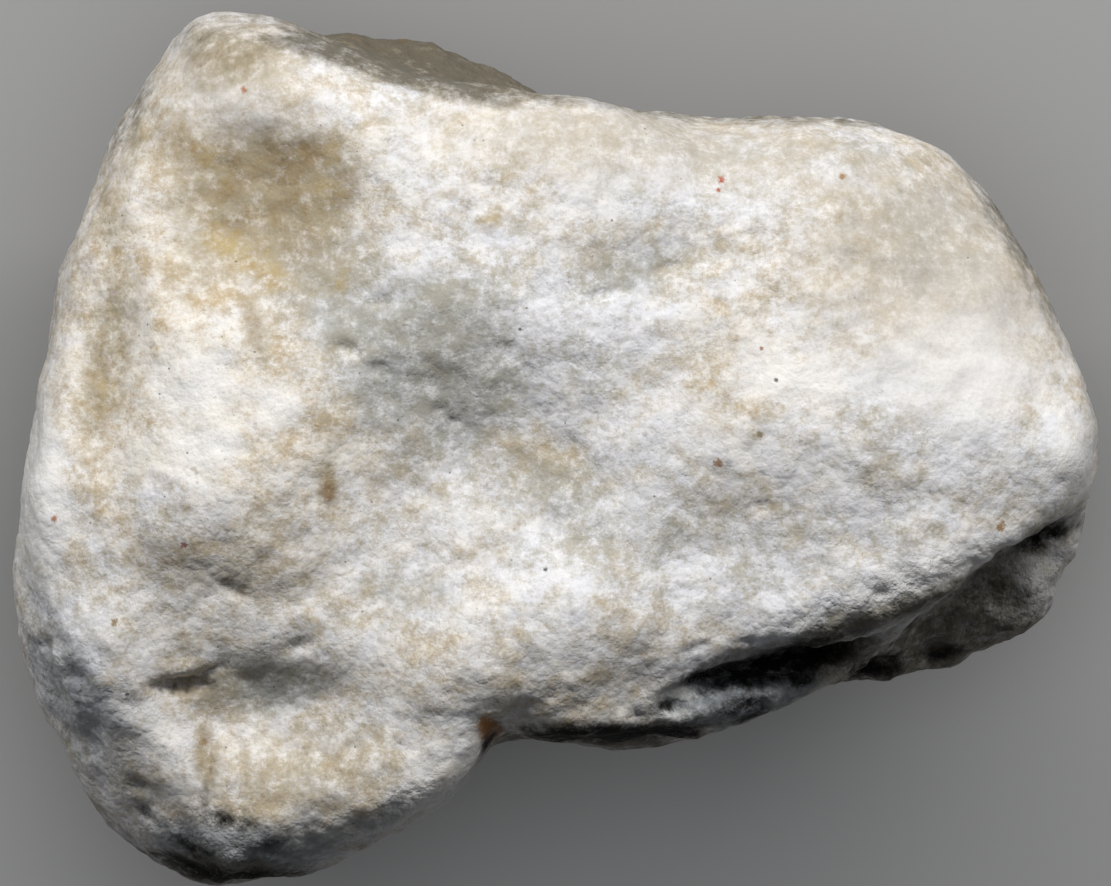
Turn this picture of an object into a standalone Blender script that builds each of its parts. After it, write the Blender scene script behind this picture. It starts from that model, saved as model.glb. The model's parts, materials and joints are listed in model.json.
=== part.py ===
"""A gypsum rock: one worn, sugary white stone that fills a hand, lying on the flat of its back.

The rock is one piece. It starts as a ball, is drawn out to the stone's outline, has its worn flats
planed on and its lumps, hollows, ledges and cracks pressed in, and is set down on its rest flat.

Axes: +X towards the blunt nose, +Y towards the long straight edge, +Z up through the broad face.
Origin: the middle of the bounding box's underside, on the surface that the rock lies on.
"""

import math

import bmesh
import bpy
import numpy as np
from mathutils import Vector, noise

MM = 0.001

# Driving dimensions
LENGTH = 91.5 * MM  # along X, left flank to nose
WIDTH = 73.5 * MM  # along Y, corner foot to knob
HEIGHT = 50.0 * MM  # rest flat to the crown of the broad face
REST_DEPTH = 3.0 * MM  # how much of the rounded back the rest flat takes off
UNDERSIDE_SHARE = 0.94  # how much of the room inside the outline the plainer underside line takes up
UNDERSIDE_BLEND = 10.0  # degrees of compass that it is blended over
UNDERSIDE_PASSES = 6  # how often it is blended and drawn inside the outline
WEAR_PASSES = 2  # how often the finished surface is smoothed, which takes the sharpness off its edges
TOP_BIAS = 0.05  # how far the ball's faces are drawn towards the broad face, for finer relief there
GRID = 28  # faces along each side of the cube that the ball is made from

NODE_NAME = "gypsum_rock"
STONE_WHITE = (0.80, 0.77, 0.71, 1.0)
STONE_ROUGHNESS = 0.62

# The widest line round the stone, seen from above, anticlockwise from the nose: x and y in millimetres
OUTLINE = (
    (45.7, 0.0), (44.8, 4.2), (42.9, 8.5), (40.6, 13.6), (37.6, 18.9), (34.4, 23.3),
    (29.6, 25.9), (25.8, 26.8), (22.4, 27.4), (15.6, 27.4), (8.0, 27.6), (3.7, 28.6),
    (-1.4, 29.2), (-6.4, 29.5), (-10.7, 30.6), (-14.5, 31.8), (-17.4, 33.5), (-21.7, 34.8),
    (-24.9, 36.0), (-28.0, 36.7), (-31.0, 35.8), (-32.0, 33.6), (-35.4, 29.0), (-38.1, 23.7),
    (-38.4, 21.3), (-40.7, 16.1), (-42.7, 8.5), (-44.0, 0.9), (-45.4, -6.8), (-45.7, -12.3),
    (-44.6, -17.8), (-40.7, -26.4), (-37.6, -31.9), (-34.4, -34.6), (-31.0, -36.3), (-26.8, -36.7),
    (-21.7, -35.5), (-17.9, -34.5), (-13.2, -31.8), (-9.8, -30.2), (-7.7, -28.5), (-6.0, -26.4),
    (-5.0, -25.1), (-3.0, -24.8), (-0.5, -24.7), (2.9, -25.4), (6.3, -25.7), (8.8, -25.2),
    (13.9, -23.6), (18.5, -21.6), (20.7, -20.8), (24.9, -20.0), (30.8, -18.6), (34.2, -18.0),
    (37.6, -17.1), (39.7, -15.5), (41.4, -13.1), (43.4, -8.9), (45.1, -4.7),
)

# Round the stone by compass angle in degrees: the height of the widest line, in millimetres, and how
# square the section is above it and below it (2 is an ellipse, more is squarer)
SECTIONS = (
    (0, 30.0, 5.0, 2.3),
    (30, 27.0, 3.6, 2.2),
    (60, 31.0, 4.0, 2.2),
    (90, 33.0, 4.2, 2.5),
    (115, 30.0, 3.8, 2.6),
    (135, 29.0, 3.6, 2.3),
    (160, 27.0, 4.4, 2.2),
    (185, 30.0, 5.4, 2.4),
    (205, 24.0, 4.2, 2.5),
    (222, 24.0, 3.8, 2.3),
    (238, 33.0, 4.0, 2.2),
    (250, 36.0, 4.4, 2.2),
    (262, 38.0, 4.6, 2.3),
    (280, 36.0, 4.4, 2.4),
    (300, 27.0, 5.0, 2.5),
    (325, 22.0, 5.0, 2.4),
    (343, 21.0, 5.0, 2.2),
)
FADE_DEPTH = 15.0  # millimetres below the widest line at which the outline's own wobble has gone

# The overhang near the nose, from its left end: x, the y that the face under it is set back to, and
# the height of the ledge at that face's foot, in millimetres
OVERHANG = (
    (-6.0, -50.0, 42.0),
    (2.0, -30.0, 44.0),
    (8.0, -20.6, 44.0),
    (12.0, -19.4, 43.2),
    (17.0, -18.2, 42.0),
    (23.0, -16.7, 40.4),
    (26.5, -15.6, 38.0),
    (28.5, -14.5, 30.0),
    (31.0, -13.0, 27.0),
    (34.2, -10.6, 26.0),
    (37.6, -8.6, 26.0),
    (41.0, -6.8, 27.0),
    (46.0, -5.0, 28.0),
)
LEDGE_RISE = 3.0  # millimetres of height over which the ledge turns up into the face
OVERHANG_SOFTNESS = 0.9  # millimetres that the overhang's edge rounds off over

# Worn flats: a point on the flat, the way it faces, and how softly it rounds off, in millimetres
FLATS = {
    "bevel along the long edge": ((5, 19, 50), (0.02, 0.22, 0.97), 0.6),
    "knob's own slope": ((-28, 32, 46.5), (-0.1, 0.5, 0.86), 0.8),
    "left flank": ((-40.6, 4, 44.6), (-0.52, 0.05, 0.85), 1.0),
    "lower left flank": ((-40.4, -21.5, 41), (-0.76, -0.36, 0.54), 0.8),
    "foot of the corner lobe": ((-20, -36.0, 43.6), (0.22, -0.78, 0.58), 0.7),
    "nose bevel": ((41, 9, 44.4), (0.62, 0.34, 0.71), 1.2),
    "side below the long edge": ((12, 27.4, 16), (0.2, 0.9, -0.38), 1.0),
    "side below the knob": ((-37, 24, 20), (-0.82, 0.48, -0.3), 1.2),
    "side below the left flank": ((-43, -12, 14), (-0.9, -0.1, -0.42), 1.2),
    "side below the ledge": ((28, -17, 16), (0.3, -0.86, -0.42), 1.0),
    "side below the corner lobe": ((-22, -35, 20), (-0.1, -0.87, -0.48), 1.2),
    "back, towards the long edge": ((0, 24, 9), (0.1, 0.72, -0.69), 1.0),
    "back, towards the nose": ((36, 2, 10), (0.66, 0.06, -0.75), 1.2),
    "back, towards the corner foot": ((-30, -24, 9), (-0.5, -0.55, -0.67), 1.0),
    "back, towards the left flank": ((-34, 10, 8), (-0.7, 0.2, -0.69), 1.0),
    "back, towards the far corner": ((28, 22, 11), (0.62, 0.52, -0.59), 1.2),
}

# Lumps, hollows, ledges and cracks: centre, reach along its own axes, turn about Z in degrees, and
# the push at its centre, all in millimetres
PRESSINGS = {
    "hollow under the knob": ((-24, 19.6, 48), (14, 12, 14), -10, (0, 0, -3.8)),
    "crease beyond the knob": ((-26, 33.2, 46), (12, 3.4, 8), -14, (0, 0, -0.8)),
    "ridge across the left half": ((-29, -4.6, 48), (16, 9, 14), 14, (0, 0, 1.5)),
    "slope below the left crown": ((-21, -14.4, 48), (16, 10, 14), 10, (0, 0, -2.4)),
    "valley": ((-24.6, -22.4, 46), (14, 6.2, 14), 6, (0, 0, -4.6)),
    "terrace of the corner lobe": ((-24, -33, 44), (30, 19, 22), 6, (0, 0, -3.8)),
    "corner lobe": ((-18, -30.6, 43), (19, 7, 13), 18, (0.3, -0.2, 3.2)),
    "end of the corner lobe": ((-8.5, -26.6, 43), (6, 4.4, 10), 40, (0.2, 0, 1.4)),
    "groove down the left flank": ((-37.6, 7, 45), (4, 14, 12), -4, (0.4, 0, -1.6)),
    "middle hollow": ((-8, -2.4, 49), (18, 13, 14), 10, (0, 0, -3.8)),
    "pit beside the middle hollow": ((-17.5, 8, 48), (5, 4.5, 9), 0, (0, 0, -1.0)),
    "swell at the middle": ((0.5, -15.6, 49), (14, 8, 12), 4, (0, 0, 2.2)),
    "shelf above the notch": ((-5, -20, 47), (11, 5, 9), 0, (0, 0, 2.0)),
    "swell beside the valley": ((-8.6, -7, 49), (6, 5, 10), 0, (0, 0, 1.2)),
    "grey band over the middle": ((6, 14.2, 49), (13, 5.4, 12), 16, (0, 0, -1.3)),
    "dip on the right": ((14.6, -7, 49), (9, 6, 12), 0, (0, 0, -0.9)),
    "dip by the valley": ((-12, -12.6, 48), (5, 4, 12), 0, (0, 0, -0.7)),
    "crown on the right": ((27, 0, 49), (19, 10, 12), 6, (0, 0, 1.8)),
    "swell by the nose": ((43.0, -1.6, 40), (7, 9, 12), 0, (0, 0, 4.8)),
    "rim below the nose": ((41.6, -5.8, 38), (6, 4.4, 9), 24, (0, -0.4, 3.4)),
    "brow over the overhang": ((31, -9, 45), (13, 5.6, 10), 18, (0, -0.2, 2.0)),
    "rim of the left flank": ((-43, -4, 42), (4, 15, 10), -4, (-0.2, 0, 2.2)),
    "shoulder of the left flank": ((-38.4, -17.6, 41), (8, 10, 12), 24, (-0.2, -0.1, 4.2)),
    "foot of the left flank": ((-41.8, -26.4, 30), (6, 7, 14), 30, (0.7, 0.5, 0)),
    "ridge to the corner foot": ((-33.4, -26.4, 41), (6, 8, 12), 30, (0, 0, 2.2)),
    "brow beside the notch": ((2.0, -23.2, 44), (9.5, 4.6, 9), -2, (0, -0.1, 2.4)),
    "tongue": ((14.0, -22.0, 42), (12.5, 3.6, 7.5), 15, (0, -0.2, 3.0)),
    "tip of the tongue": ((24.6, -18.0, 40), (6, 2.8, 7), 26, (0, -0.4, 2.2)),
    "crevice over the tongue": ((18.8, -18.5, 44), (10, 2.4, 6), 13, (0, 1.0, -3.4)),
    "hollow under the tongue": ((26.5, -17.8, 35), (8, 5, 6), 14, (-0.4, 3.2, -0.6)),
    "cave beside the nose": ((40, -8.5, 38), (7, 6, 8), 12, (-1.4, 2.0, -0.4)),
    "ledge": ((35, -15, 25), (14, 8, 7), 18, (0.2, -0.6, 1.6)),
    "undercut below the tongue": ((20.6, -22.4, 29), (9, 5, 12), 16, (-0.3, 1.4, 0)),
    "worn rim on the right": ((43.2, 9.4, 36), (6, 7, 14), 14, (-0.8, -0.1, 0)),
    "cleft at the notch": ((-5.4, -25.8, 36), (5, 4.6, 19), 0, (0.3, 2.2, -0.4)),
    "shoulder behind the long edge": ((-12, 26, 21), (17, 12, 11), -12, (0.4, 5.4, 0)),
    "scoop under the shoulder": ((6, 28, 15), (14, 9, 9), 0, (0, -1.6, 0)),
    "scoop in the back": ((-26, -8, 4), (13, 15, 12), 20, (1.6, 0, 1.6)),
    "lump low on the shaded side": ((6, -26, 14), (13, 8, 10), 10, (0, -1.8, 0)),
    "scoop under the nose": ((42, -6, 16), (8, 10, 8), 0, (-1.6, 0, 0)),
    "scoop in the left flank": ((-43, 2, 26), (7, 12, 8), 0, (0.9, 0, 0)),
}

# Weathering over the whole stone: the size of its swells and how far they stand, in millimetres. It
# is weak within this reach of the widest line's height, which keeps the outline.
WEATHERING = ((20.0, 2.0), (9.0, 1.1), (4.6, 0.45))
CALM_REACH = 16.0
CALM_SHARE = 0.1  # how much of the weathering is left at the widest line


def outline_radius(angles):
    """The outline's distance from its middle at these angles, in millimetres."""
    points = np.array(OUTLINE)
    around = np.unwrap(np.arctan2(points[:, 1], points[:, 0]))
    radii = np.hypot(points[:, 0], points[:, 1])
    return periodic_curve(around, radii, angles)


def underside_radius(angles):
    """The plainer line that the outline settles to low on the stone."""
    samples = np.linspace(0, 2 * math.pi, 360, endpoint=False)
    outline = outline_radius(samples)
    waves = np.arange(len(samples) // 2 + 1)
    smoothing = np.exp(-0.5 * (waves * math.radians(UNDERSIDE_BLEND)) ** 2)
    plain = outline
    for _ in range(UNDERSIDE_PASSES):
        plain = np.minimum(outline, np.fft.irfft(np.fft.rfft(plain) * smoothing, len(samples)))
    plain = UNDERSIDE_SHARE * np.fft.irfft(np.fft.rfft(plain) * smoothing, len(samples))
    return periodic_curve(samples, plain, angles)


def section(angles):
    """The widest line's height, and how square the section is above and below it, at these angles."""
    compass = np.radians([row[0] for row in SECTIONS])
    return (
        periodic_curve(compass, np.array([row[k] for row in SECTIONS]), angles)[:, None]
        for k in (1, 2, 3)
    )


def periodic_curve(stations, values, at):
    """A smooth closed curve through values at stations, in radians, read at other angles."""
    turn = 2 * math.pi
    order = np.argsort(stations % turn)
    stations, values = (stations % turn)[order], values[order]
    stations = np.concatenate([stations[-2:] - turn, stations, stations[:2] + turn])
    values = np.concatenate([values[-2:], values, values[:2]])
    slopes = np.gradient(values, stations)
    at = at % turn
    left = np.clip(np.searchsorted(stations, at, side="right") - 1, 0, len(stations) - 2)
    span = stations[left + 1] - stations[left]
    t = (at - stations[left]) / span
    share = t * t * (3 - 2 * t)
    return (
        values[left] * (1 - share)
        + values[left + 1] * share
        + slopes[left] * span * t * (1 - t) ** 2
        - slopes[left + 1] * span * t * t * (1 - t)
    )


def draw_out(directions):
    """Places the ball's points on the plain body: each meridian is spread along its own section."""
    angles = np.arctan2(directions[:, 1], directions[:, 0])
    share = np.arccos(np.clip(directions[:, 2], -1, 1)) / math.pi
    share = share - TOP_BIAS * np.sin(math.pi * share)
    belly, square_above, square_below = section(angles)
    crown, rest = HEIGHT / MM, REST_DEPTH / MM
    sweep = np.linspace(0, math.pi, 97)[None, :]
    above = sweep <= math.pi / 2
    square = np.where(above, square_above, square_below)
    rise = np.abs(np.cos(sweep)) ** (2 / square)
    up = belly + np.where(above, crown - belly, -belly - rest) * rise
    radius = outline_radius(angles)[:, None]
    plain = underside_radius(angles)[:, None]
    radius = plain + (radius - plain) * ease(1 + (up - belly) / FADE_DEPTH)
    out = radius * np.sin(sweep) ** (2 / square)
    steps = np.hypot(np.diff(out, axis=1), np.diff(up, axis=1))
    along = np.concatenate([np.zeros((len(steps), 1)), np.cumsum(steps, axis=1)], axis=1)
    along /= along[:, -1:]
    placed = np.empty_like(directions)
    for i, wanted in enumerate(share):
        distance = np.interp(wanted, along[i], out[i])
        placed[i] = (
            distance * math.cos(angles[i]),
            distance * math.sin(angles[i]),
            np.interp(wanted, along[i], up[i]),
        )
    return placed


def ease(t):
    """0 up to t = 0, 1 from t = 1, smooth between."""
    t = np.clip(t, 0, 1)
    return t * t * (3 - 2 * t)


def weather(points, directions):
    """Swells and sinks the whole surface a little, as wear does."""
    belly, _, _ = section(np.arctan2(directions[:, 1], directions[:, 0]))
    sideways = CALM_SHARE + (1 - CALM_SHARE) * ease(np.abs(points[:, 2:] - belly) / CALM_REACH)
    outward = directions * np.hstack([sideways, sideways, np.ones_like(sideways)])
    for size, stand in WEATHERING:
        swell = np.array([noise.noise(Vector(point / size)) for point in points])
        points = points + (stand * swell)[:, None] * outward
    return points


def plane_flats(points):
    """Planes each worn flat on, rounding softly into the faces beside it."""
    for point, facing, softness in FLATS.values():
        facing = np.array(facing) / np.linalg.norm(facing)
        proud = (points - np.array(point)) @ facing
        points = points - soft_cut(proud, softness)[:, None] * facing
    return points


def soft_cut(proud, softness):
    """How far to pull back a point that stands this far proud, easing in over the softness."""
    return softness * np.logaddexp(0, proud / softness)


def set_back(points):
    """Sets the face under the overhang back and leaves the ledge standing at its foot."""
    edge_x, edge_y, ledge = np.array(OVERHANG).T
    proud = np.interp(points[:, 0], edge_x, edge_y) - points[:, 1]
    rise = ease((points[:, 2] - np.interp(points[:, 0], edge_x, ledge)) / LEDGE_RISE)
    points = points.copy()
    points[:, 1] += soft_cut(proud, OVERHANG_SOFTNESS) * rise
    return points


def press(points):
    """Presses each lump, hollow, ledge and crack in, fading smoothly to its reach."""
    for centre, reach, turn, push in PRESSINGS.values():
        points = points + fade(points, centre, reach, turn)[:, None] * np.array(push)
    return points


def fade(points, centre, reach, turn):
    """How strongly a pressing acts at each point: 1 at its centre, 0 from its reach outwards."""
    away = points - np.array(centre)
    c, s = math.cos(math.radians(turn)), math.sin(math.radians(turn))
    own = np.column_stack([away[:, 0] * c + away[:, 1] * s, away[:, 1] * c - away[:, 0] * s, away[:, 2]])
    near = 1 - ((own / np.array(reach)) ** 2).sum(axis=1)
    return np.clip(near, 0, None) ** 2


def set_down(points):
    """Cuts the rest flat at Z = 0, centres the bounding box on the origin and trims it to size."""
    points = points * MM
    points[:, 2] = np.maximum(points[:, 2], 0)
    low, high = points.min(axis=0), points.max(axis=0)
    points = points - np.array([(low[0] + high[0]) / 2, (low[1] + high[1]) / 2, 0])
    return points * np.array([LENGTH, WIDTH, HEIGHT]) / (high - low)


def stone_material():
    """White rock gypsum, dull from wear."""
    material = bpy.data.materials.new("rock_gypsum")
    material.use_nodes = True
    shader = material.node_tree.nodes["Principled BSDF"]
    shader.inputs["Base Color"].default_value = STONE_WHITE
    shader.inputs["Roughness"].default_value = STONE_ROUGHNESS
    shader.inputs["Metallic"].default_value = 0.0
    return material


def move(shape, points):
    """Moves the mesh's vertices to these points."""
    for vertex, point in zip(shape.verts, points):
        vertex.co = point


def make_rock():
    """The rock, as one closed mesh of quads."""
    shape = bmesh.new()
    bmesh.ops.create_cube(shape, size=2)
    bmesh.ops.subdivide_edges(shape, edges=shape.edges[:], cuts=GRID - 1, use_grid_fill=True)
    cube = np.array([v.co[:] for v in shape.verts])
    even = np.tan(cube * math.pi / 4)
    directions = even / np.linalg.norm(even, axis=1, keepdims=True)
    move(shape, press(set_back(plane_flats(weather(draw_out(directions), directions)))))
    for _ in range(WEAR_PASSES):
        bmesh.ops.smooth_vert(
            shape, verts=shape.verts[:], factor=0.5, use_axis_x=True, use_axis_y=True, use_axis_z=True
        )
    move(shape, set_down(np.array([v.co[:] for v in shape.verts])))
    bmesh.ops.recalc_face_normals(shape, faces=shape.faces[:])
    mesh = bpy.data.meshes.new(NODE_NAME)
    shape.to_mesh(mesh)
    shape.free()
    mesh.materials.append(stone_material())
    mesh.shade_smooth()
    rock = bpy.data.objects.new(NODE_NAME, mesh)
    bpy.context.scene.collection.objects.link(rock)
    return rock


def main():
    for old in list(bpy.data.objects):
        bpy.data.objects.remove(old)
    make_rock()


main()
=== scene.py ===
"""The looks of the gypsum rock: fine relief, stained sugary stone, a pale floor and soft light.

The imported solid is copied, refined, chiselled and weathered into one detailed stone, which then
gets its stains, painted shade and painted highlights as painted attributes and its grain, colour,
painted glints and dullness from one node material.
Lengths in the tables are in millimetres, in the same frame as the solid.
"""

from __future__ import annotations

import json
import logging
import math
from collections.abc import Iterable, Mapping, Sequence
from dataclasses import dataclass, field
from enum import Enum
from typing import Any

import bmesh
import bpy
import numpy as np
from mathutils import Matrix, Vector, noise
from mathutils.bvhtree import BVHTree

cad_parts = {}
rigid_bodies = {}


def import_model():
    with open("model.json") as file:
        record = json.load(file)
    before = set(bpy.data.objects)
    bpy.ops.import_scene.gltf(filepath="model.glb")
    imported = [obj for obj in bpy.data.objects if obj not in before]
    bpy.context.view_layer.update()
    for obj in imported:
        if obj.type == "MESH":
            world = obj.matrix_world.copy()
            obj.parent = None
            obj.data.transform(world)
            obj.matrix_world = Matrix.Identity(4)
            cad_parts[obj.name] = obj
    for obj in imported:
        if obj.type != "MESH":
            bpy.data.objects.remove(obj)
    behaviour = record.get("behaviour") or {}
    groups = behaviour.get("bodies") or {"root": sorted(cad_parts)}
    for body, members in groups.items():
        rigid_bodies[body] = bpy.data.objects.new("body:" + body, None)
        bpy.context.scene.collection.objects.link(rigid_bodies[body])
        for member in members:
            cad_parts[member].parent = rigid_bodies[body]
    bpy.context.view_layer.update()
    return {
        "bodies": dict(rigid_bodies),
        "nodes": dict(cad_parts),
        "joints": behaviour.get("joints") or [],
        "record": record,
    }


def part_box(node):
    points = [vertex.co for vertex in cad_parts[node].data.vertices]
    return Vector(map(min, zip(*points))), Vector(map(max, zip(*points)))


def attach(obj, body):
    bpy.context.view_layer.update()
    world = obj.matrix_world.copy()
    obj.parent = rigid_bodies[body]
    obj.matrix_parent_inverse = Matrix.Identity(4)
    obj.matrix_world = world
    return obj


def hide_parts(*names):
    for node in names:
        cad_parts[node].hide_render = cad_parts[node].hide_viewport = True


log = logging.getLogger("gypsum_rock")

MM = 0.001  # the tables' unit, in metres
FACE = 46.0  # the broad face's usual height, in millimetres
SEED_DRIFT = (1.0, 1.7, -0.6)  # the direction in which a noise's seed moves it
Pair = tuple[float, float]
Triple = tuple[float, float, float]


class Tint(Enum):
    """The stains, stone kinds, painted shade and highlights that are painted on, each an attribute
    of the same name.
    """

    WARM = "warm"  # creamier stone than the rest
    COOL = "cool"  # fresher stone, without the cream of the rest
    GREY = "grey"  # clear gypsum, which looks bluish grey, and painted shade in hollows, on the long edge, the knob's crest and the right half
    CHALK_AND_HIGHLIGHT = "chalk_and_highlight"  # bruised, opaque white, and painted highlight on the highest spots, the rims and a shaded dip
    TAN = "tan"  # silt in the hollows, and painted shade on the knob, the shoulder, the long edge and the right half
    OCHRE = "ochre"  # yellow iron stain
    RUST = "rust"  # brown to orange iron spots
    GRIME_AND_SHADE = "grime_and_shade"  # dirt, and painted shade: darker low on the deep and hidden faces, on the rims and on the shaded slopes
    CREVICE_SHADE = "crevice_shade"  # painted shade: black where shade falls, in the crevices, under the foot and the overhang and along the shaded lower edge
    SLATE_AND_SHADE = "slate_and_shade"  # bluish, freshly broken stone, and painted shade on the tongue, the ledge and the slope under the overhang
    BROKEN = "broken"  # not a colour: stone that is broken and unworn, so rougher
    WORN_AND_SHADE = "worn_and_shade"  # stone that is rubbed smooth, duller and darker; the darker colour is also painted shade on the long edge's bevel and the knob


@dataclass(frozen=True)
class Stroke:
    """One mark of the chisel or of wear.

    Attributes:
        at: its middle.
        reach: how far it reaches along its own three axes.
        sink: how deep it goes along the surface's normal; less than 0 raises.
        turn: degrees that its own axes are turned about Z.
        shift: a further push in a fixed direction.
        edge: how steep its sides are; 2 is soft, 1 has a crisper rim.
    """

    at: Triple
    reach: Triple
    sink: float = 0.0
    turn: float = 0.0
    shift: Triple = (0.0, 0.0, 0.0)
    edge: float = 2.0


@dataclass(frozen=True)
class Stain:
    """One patch of a tint.

    Attributes:
        at: its middle.
        reach: how far it reaches along its own three axes.
        strength: how much it covers at its middle; less than 0 takes the tint off again.
        turn: degrees that its own axes are turned about Z.
    """

    at: Triple
    reach: Triple
    strength: float = 1.0
    turn: float = 0.0


@dataclass(frozen=True)
class Speck:
    """A pin-sized spot of colour: its middle, its radius and its linear colour."""

    at: Triple
    radius: float
    colour: Triple


@dataclass(frozen=True)
class Coat:
    """How a tint lies on the stone: how ragged its rim is, and how much it hides at most."""

    tint: Tint
    rag: float
    most: float


@dataclass(frozen=True)
class Swell:
    """One layer of all-over relief: the size of its swells and how high they stand."""

    size: float
    height: float


@dataclass(frozen=True)
class Grain:
    """One layer of soft noise in the material.

    Attributes:
        size: the size of its swells.
        detail: how many finer layers it holds.
        roughness: how strong those are.
        seed: moves it to another place.
    """

    size: float
    detail: float = 3.0
    roughness: float = 0.55
    seed: float = 0.0


@dataclass(frozen=True)
class Lamp:
    """One soft rectangular lamp.

    Attributes:
        name: its name.
        place: where it hangs.
        size: its length and width.
        power: its power in watts.
        colour: the colour of its light.
    """

    name: str
    place: Triple
    size: Pair
    power: float
    colour: Triple


def dent(x: float, y: float, wide: float, long: float, sink: float, turn: float = 0.0) -> Stroke:
    """A dent of the broad face, with enough reach in height for the face's slopes."""
    return Stroke((x, y, FACE), (wide, long, 8.0), sink, turn)


def patch(
    x: float, y: float, wide: float, long: float, strength: float = 1.0, turn: float = 0.0
) -> Stain:
    """A stain of the broad face, with enough reach in height for the face's edges."""
    return Stain((x, y, FACE), (wide, long, 14.0), strength, turn)


# All-over relief, from broad to fine
SWELLS: tuple[Swell, ...] = (
    Swell(size=5.5, height=0.75),
    Swell(size=2.6, height=0.42),
    Swell(size=1.25, height=0.20),
)

# Hollows under the overhang and small humps beside them, each pushed in a direction of its own,
# worked in before the surface has its last subdivision
CAVES: tuple[Stroke, ...] = (
    Stroke((15, -19.6, 42), (8, 1.5, 7), turn=12, shift=(0.2, 1.4, -3.2)),
    Stroke((22, -18, 40), (7, 1.5, 7), turn=14, shift=(0.2, 1.6, -3.4)),
    Stroke((26.4, -19.2, 31), (5.5, 1.9, 7), turn=13, shift=(0, 2.2, -1.2)),
    Stroke((32.6, -17.8, 28), (3.4, 1.4, 5), turn=14, shift=(0, 1.4, -0.6)),
    Stroke((41, -8.2, 34), (3.6, 2.2, 9), turn=20, shift=(-0.6, 2.2, -2.4)),
    Stroke((-5.6, -24.4, 42), (1.6, 2.6, 8), shift=(0.4, 2.4, 0)),
    Stroke((5.6, -25, 40), (7.5, 2, 8), turn=-2, shift=(0, 1.4, -1.8)),
)

# Narrow marks, worked into the finished mesh
FINE_STROKES: tuple[Stroke, ...] = (
    # the slit and the dents round it
    Stroke((-31.6, -20.4, FACE), (3.6, 0.8, 8), sink=1, turn=4, shift=(0, 0.5, 0), edge=1.2),
    dent(-29.4, -19.1, 3, 0.6, 0.6, 22),
    dent(-25.6, -19.6, 2.6, 1.1, 0.4, 12),
    dent(-31, -18.8, 3.2, 0.9, -0.4, 8),
    dent(-21.6, -17, 2.8, 0.9, 0.35, 16),
    # dents of the left flank
    Stroke((-42.2, -16.6, 40), (1.6, 0.8, 8), sink=0.5, turn=-12, edge=1.2),
    Stroke((-40.6, -19.4, 40), (1.6, 0.8, 8), sink=0.5, turn=-10, edge=1.2),
    # dents of the broad face
    Stroke((-27.1, -12.3, FACE), (1.9, 0.7, 8), sink=0.3, turn=-24, edge=1.2),
    dent(-17.4, 8, 1.7, 1, 0.6, -20),
    dent(-14.9, 6.4, 1.3, 0.8, 0.5, 10),
    Stroke((-14.9, 12, FACE), (1.5, 0.6, 8), sink=0.5, turn=18, edge=1.2),
    dent(-9.9, 2.9, 1.4, 0.6, 0.45, 8),
    dent(-13.7, 3.9, 0.9, 0.7, 0.45),
    dent(-8.8, 2, 1, 0.6, 0.4),
    dent(3.8, 12.6, 1.9, 0.7, 0.5, 12),
    dent(9.5, 15, 2, 0.7, 0.5, 16),
    dent(6.2, 13.2, 1.2, 0.6, 0.4),
    dent(17.4, -5.2, 1.4, 0.9, 0.3),
    # pits, lumps and a crack at the foot of the lobed corner
    Stroke((-35.2, -28.8, 40), (1.2, 0.7, 8), sink=0.6, turn=-20, edge=1.2),
    Stroke((-28.2, -31.6, 42), (1.7, 1.2, 8), sink=0.5, turn=-10),
    Stroke((-25.6, -32.4, 42), (1.8, 1.2, 8), sink=0.4, turn=-6),
    Stroke((-30.6, -34, 40), (2.6, 0.9, 8), sink=0.35, turn=-30),
    Stroke((-24, -33.6, 40), (2.8, 0.8, 8), sink=0.3, turn=14),
    Stroke((-28, -34.4, 39), (2.4, 0.9, 8), sink=-0.5, turn=-4),
    Stroke((-34.6, -31, 40), (1.8, 0.9, 8), sink=0.5, turn=-40),
    Stroke((-29.4, -27, 44), (0.7, 4.6, 8), sink=0.4, turn=6),
    # one more dent of the left flank
    Stroke((-43.2, -16.9, 38), (1, 0.8, 8), sink=0.5),
    # pits and lumps of the tongue
    Stroke((9.4, -21.8, 42), (1.6, 1, 6), sink=0.7),
    Stroke((12.6, -22.4, 42), (1.4, 0.9, 6), sink=-0.5),
    Stroke((15.6, -21.5, 42), (2, 0.9, 6), sink=0.35, turn=14),
    Stroke((18.2, -21, 41), (1.5, 0.9, 6), sink=-0.4),
    Stroke((20.8, -19.9, 40), (1.3, 0.8, 6), sink=0.6),
    Stroke((6.6, -22.8, 42), (1.4, 0.8, 6), sink=0.6),
    # dents along the edge above the crevice
    Stroke((12, -17, 46), (1.8, 0.7, 5), sink=0.25, turn=20),
    Stroke((16.2, -16.6, 46), (1.8, 0.8, 5), sink=0.28, turn=12),
    Stroke((20, -15.2, 46), (1.7, 0.8, 5), sink=0.35, turn=25),
    Stroke((23.6, -14.2, 46), (1.6, 0.9, 5), sink=0.35, turn=10),
    Stroke((27, -12.6, 46), (2.4, 0.8, 5), sink=0.4, turn=30),
    Stroke((31.2, -11.6, 46), (2, 0.8, 5), sink=0.35, turn=16),
    Stroke((34.6, -10.2, 45), (1.6, 0.8, 5), sink=0.6, turn=24),
    Stroke((37.6, -9, 44), (1.3, 0.8, 5), sink=0.5, turn=34),
)

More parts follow.
